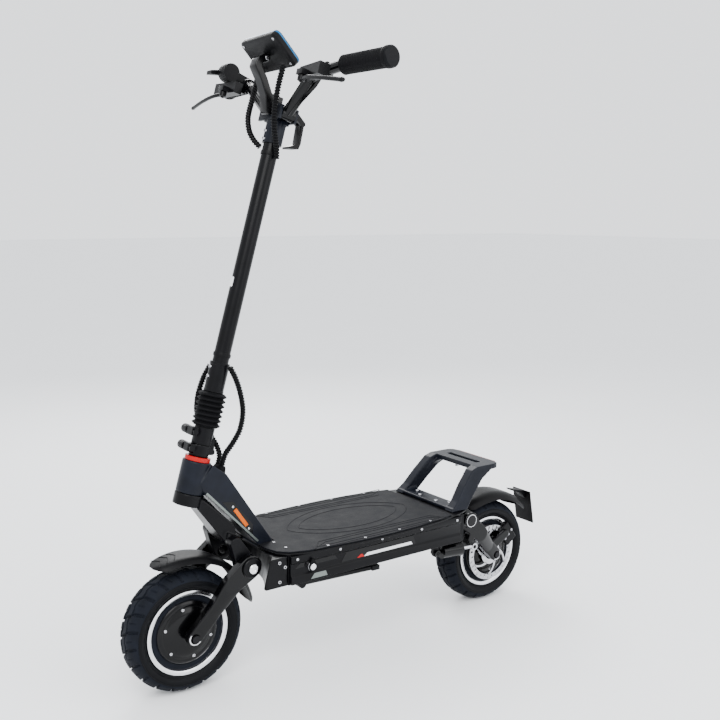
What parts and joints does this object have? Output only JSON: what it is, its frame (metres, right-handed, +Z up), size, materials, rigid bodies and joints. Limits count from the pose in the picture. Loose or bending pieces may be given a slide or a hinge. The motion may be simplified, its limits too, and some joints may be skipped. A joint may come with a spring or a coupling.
{
  "type": "electric kick scooter",
  "caption": "Folding electric kick scooter with sprung hub-motor wheels, a wide deck with a raised rear footrest, folding bars and a display.",
  "frame": {"origin": "on the ground, under the middle of the whole object's bounding box", "axes": "+X forward, +Y to the rider's left, +Z up"},
  "size_m": [1.1089, 0.6284, 1.3149],
  "materials": {
    "painted": "satin black paint with a cool sheen",
    "anodised": "satin black anodised",
    "plastic": "fine grained black",
    "rubber": "matt black",
    "tyre": "matt black with a blue-grey cast",
    "alloy": "polished",
    "steel": "brushed",
    "red": "red anodised",
    "lamp": "clear red lens",
    "cell": "wrapped cells"
  },
  "bodies": {
    "frame": {"main_frame": "painted", "upper_bearing": "steel", "lower_bearing": "steel", "deck_tray": "anodised", "deck_plate": "anodised", "deck_mat": "rubber", "rail_left": "anodised", "rail_right": "anodised", "battery_pack": "cell", "charge_port": "steel", "kickplate": "painted", "tail_light": "lamp", "rear_fender": "plastic", "plate_holder": "plastic"},
    "steering": {"fork_yoke": "anodised", "headset_ring": "red", "front_fender": "plastic"},
    "stem": {"clamp_collar": "anodised", "bellows": "rubber", "sleeve": "anodised", "stem_tube": "anodised", "stem_head": "painted", "display_stalk": "anodised", "display_housing": "plastic", "upper_loom_left": "plastic", "upper_loom_right": "plastic", "lower_loom_left": "plastic", "lower_loom_right": "plastic"},
    "knob_upper": {"clamp_knob_upper": "anodised"},
    "knob_lower": {"clamp_knob_lower": "anodised"},
    "hook": {"latch_hook": "anodised"},
    "bar_left_group": {"bar_left": "anodised", "grip_left": "rubber", "brake_master_left": "anodised"},
    "bar_right_group": {"bar_right": "anodised", "grip_right": "rubber", "brake_master_right": "anodised", "throttle_body": "plastic"},
    "lever_left": {"brake_lever_left": "anodised"},
    "lever_right": {"brake_lever_right": "anodised"},
    "trigger": {"throttle_trigger": "plastic"},
    "button": {"display_button": "rubber"},
    "front_arms": {"front_arm_left": "anodised", "front_arm_right": "anodised", "front_motor": "steel", "front_caliper": "anodised"},
    "front_wheel": {"front_rim": "alloy", "front_tyre": "tyre", "front_rotor": "steel"},
    "rear_arms": {"rear_arm_left": "anodised", "rear_arm_right": "anodised", "rear_motor": "steel", "rear_caliper": "anodised"},
    "rear_wheel": {"rear_rim": "alloy", "rear_tyre": "tyre", "rear_rotor": "steel"},
    "damper_barrel": {"damper_body": "anodised"},
    "damper_shaft": {"damper_rod": "steel"},
    "stand": {"kickstand": "anodised"},
    "port_cap": {"charge_cap": "rubber"}
  },
  "joints": [
    {"name": "steering_turn", "type": "hinge", "parent": "frame", "child": "steering", "pos_m": [0.3835, 0, 0.479], "axis": [-0.2756, 0, 0.9613], "range_deg": [-35, 35]},
    {"name": "stem_fold", "type": "hinge", "parent": "steering", "child": "stem", "pos_m": [0.35925, 0, 0.48921], "axis": [0, -1, 0], "range_deg": [0, 80], "deforming": ["lower_loom_left", "lower_loom_right"]},
    {"name": "upper_knob_turn", "type": "hinge", "parent": "stem", "child": "knob_upper", "pos_m": [0.39449, 0, 0.53573], "axis": [0, 1, 0], "range_deg": [0, 360]},
    {"name": "lower_knob_turn", "type": "hinge", "parent": "steering", "child": "knob_lower", "pos_m": [0.40367, 0, 0.50372], "axis": [0, 1, 0], "range_deg": [0, 360]},
    {"name": "hook_swing", "type": "hinge", "parent": "stem", "child": "hook", "pos_m": [0.15215, 0, 1.16064], "axis": [0, 1, 0], "range_deg": [0, 60], "stiffness_Nm_per_rad": 0.05, "springref_deg": -11.46},
    {"name": "left_bar_fold", "type": "hinge", "parent": "stem", "child": "bar_left_group", "pos_m": [0.18835, 0.032, 1.15957], "axis": [-0.9613, 0, -0.2756], "range_deg": [0, 90], "deforming": ["upper_loom_left"]},
    {"name": "right_bar_fold", "type": "hinge", "parent": "stem", "child": "bar_right_group", "pos_m": [0.18835, -0.032, 1.15957], "axis": [0.9613, 0, 0.2756], "range_deg": [0, 90], "deforming": ["upper_loom_right"]},
    {"name": "left_brake_pull", "type": "hinge", "parent": "bar_left_group", "child": "lever_left", "pos_m": [0.23115, 0.156, 1.21346], "axis": [-0.2756, 0, 0.9613], "range_deg": [0, 15], "stiffness_Nm_per_rad": 1, "springref_deg": -8.59},
    {"name": "right_brake_pull", "type": "hinge", "parent": "bar_right_group", "child": "lever_right", "pos_m": [0.23115, -0.156, 1.21346], "axis": [0.2756, 0, -0.9613], "range_deg": [0, 15], "stiffness_Nm_per_rad": 1, "springref_deg": -8.59},
    {"name": "throttle_pull", "type": "hinge", "parent": "bar_right_group", "child": "trigger", "pos_m": [0.20845, -0.189, 1.26], "axis": [0, 1, 0], "range_deg": [0, 30], "stiffness_Nm_per_rad": 0.2, "springref_deg": -11.46},
    {"name": "button_press", "type": "slide", "parent": "stem", "child": "button", "axis": [0.7349, 0, -0.6782], "range_m": [0, 0.001], "stiffness_N_per_m": 300, "springref_m": -0.0006},
    {"name": "front_suspension", "type": "hinge", "parent": "steering", "child": "front_arms", "pos_m": [0.3105, 0, 0.256], "axis": [0, -1, 0], "range_deg": [0, 6], "stiffness_Nm_per_rad": 250, "springref_deg": -6.88},
    {"name": "rear_suspension", "type": "hinge", "parent": "frame", "child": "rear_arms", "pos_m": [-0.2675, 0, 0.25], "axis": [0, 1, 0], "range_deg": [0, 7], "stiffness_Nm_per_rad": 250, "springref_deg": -8.02},
    {"name": "front_wheel_spin", "type": "hinge", "parent": "front_arms", "child": "front_wheel", "pos_m": [0.4275, 0, 0.127], "axis": [0, 1, 0], "continuous": true},
    {"name": "rear_wheel_spin", "type": "hinge", "parent": "rear_arms", "child": "rear_wheel", "pos_m": [-0.3925, 0, 0.127], "axis": [0, 1, 0], "continuous": true},
    {"name": "damper_swing", "type": "hinge", "parent": "frame", "child": "damper_barrel", "pos_m": [-0.1645, 0.098, 0.191], "axis": [0, 1, 0], "range_deg": [0, 1.6]},
    {"name": "damper_slide", "type": "slide", "parent": "damper_barrel", "child": "damper_shaft", "axis": [-0.9971, 0, -0.0761], "range_m": [0, 0.009]},
    {"name": "kickstand_swing", "type": "hinge", "parent": "frame", "child": "stand", "pos_m": [0.2035, 0.098, 0.2035], "axis": [0, -1, 0], "range_deg": [0, 95]},
    {"name": "charge_cap_open", "type": "hinge", "parent": "frame", "child": "port_cap", "pos_m": [0.1935, 0.1311, 0.2625], "axis": [1, 0, 0], "range_deg": [0, 110]}
  ],
  "couplings": [
    {"joint": "damper_swing", "follows": "rear_suspension", "ratio": 0.1805},
    {"joint": "damper_slide", "follows": "rear_suspension", "m_per_rad": 0.0663}
  ]
}
